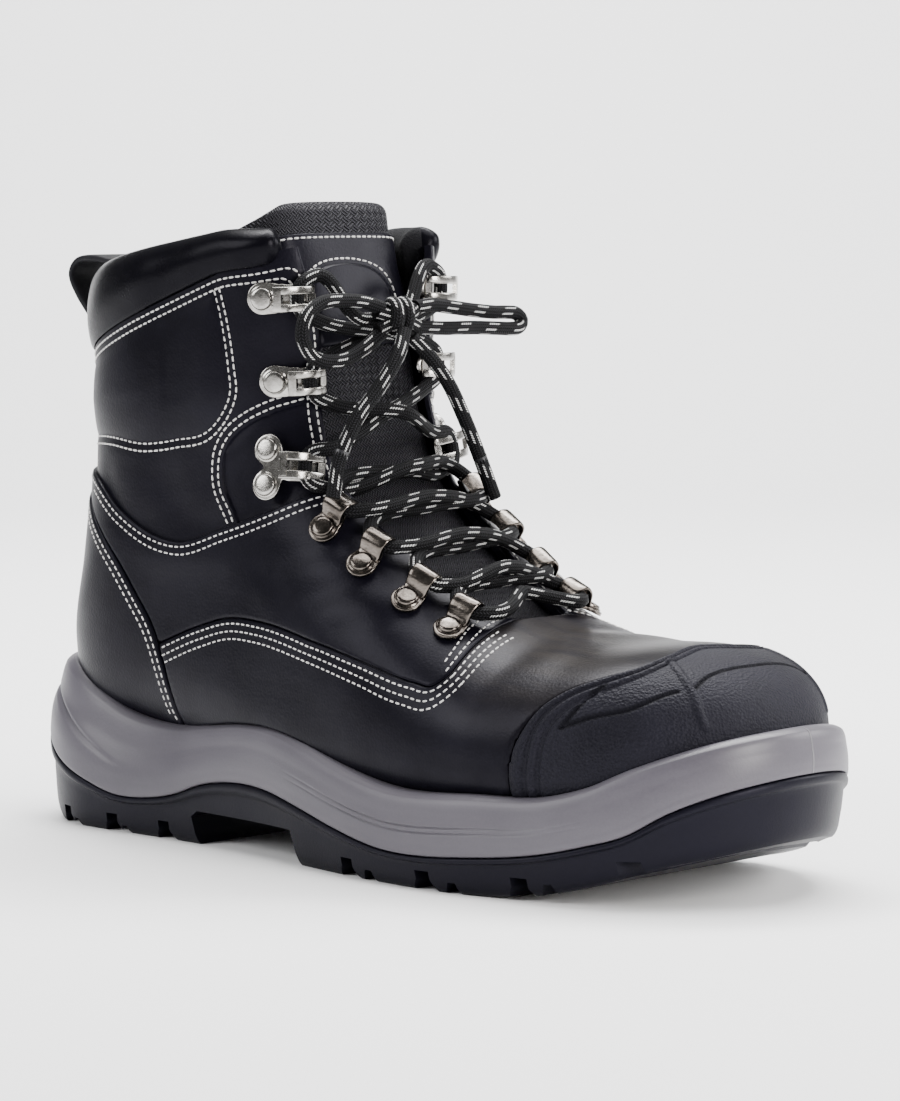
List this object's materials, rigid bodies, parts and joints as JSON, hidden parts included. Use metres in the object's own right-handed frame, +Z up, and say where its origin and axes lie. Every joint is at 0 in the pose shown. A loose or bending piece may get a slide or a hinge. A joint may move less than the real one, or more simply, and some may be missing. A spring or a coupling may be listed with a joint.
{
  "type": "cold storage boot",
  "caption": "Ankle-high lace-up work boot in black leather with padded collar, moulded toe scuff cap, lace loops and hooks, rear pull loop and a layered cup sole with a lugged tread.",
  "frame": {"origin": "on the floor under the middle of the sole's outline", "axes": "+X towards the toe, +Y towards the inner side of the foot, +Z up"},
  "size_m": [0.308, 0.1151, 0.2047],
  "materials": {
    "leather": "smooth black leather with a soft sheen",
    "collar_leather": "soft padded black leather",
    "scuff_rubber": "pebbled matt dark grey",
    "midsole_foam": "moulded warm grey foam, satin",
    "outsole_rubber": "moulded near-black rubber, satin",
    "tongue_fabric": "woven black nylon mesh",
    "insole_fabric": "napped dark lining",
    "webbing": "black webbing",
    "hook_metal": "bright nickel plate",
    "loop_metal": "dark bronze plate",
    "lace": "braided black with white flecks"
  },
  "bodies": {
    "root": {"outsole": "outsole_rubber", "midsole": "midsole_foam", "insole": "insole_fabric", "upper": "leather", "vamp_panel": "leather", "outer_quarter": "leather", "inner_quarter": "leather", "heel_counter": "leather", "scuff_cap": "scuff_rubber", "padded_collar": "collar_leather", "tongue": "tongue_fabric", "pull_loop": "webbing", "outer_lace_loop_1": "loop_metal", "outer_lace_loop_2": "loop_metal", "outer_lace_loop_3": "loop_metal", "outer_lace_loop_4": "loop_metal", "inner_lace_loop_1": "loop_metal", "inner_lace_loop_2": "loop_metal", "inner_lace_loop_3": "loop_metal", "inner_lace_loop_4": "loop_metal", "outer_lock_hook": "hook_metal", "inner_lock_hook": "hook_metal", "outer_middle_hook": "hook_metal", "inner_middle_hook": "hook_metal", "outer_top_hook": "hook_metal", "inner_top_hook": "hook_metal", "lace_crossings": "lace", "lace_knot": "lace", "lace_bow_outer": "lace", "lace_bow_inner": "lace", "lace_end_outer": "lace", "lace_end_inner": "lace"}
  },
  "joints": []
}
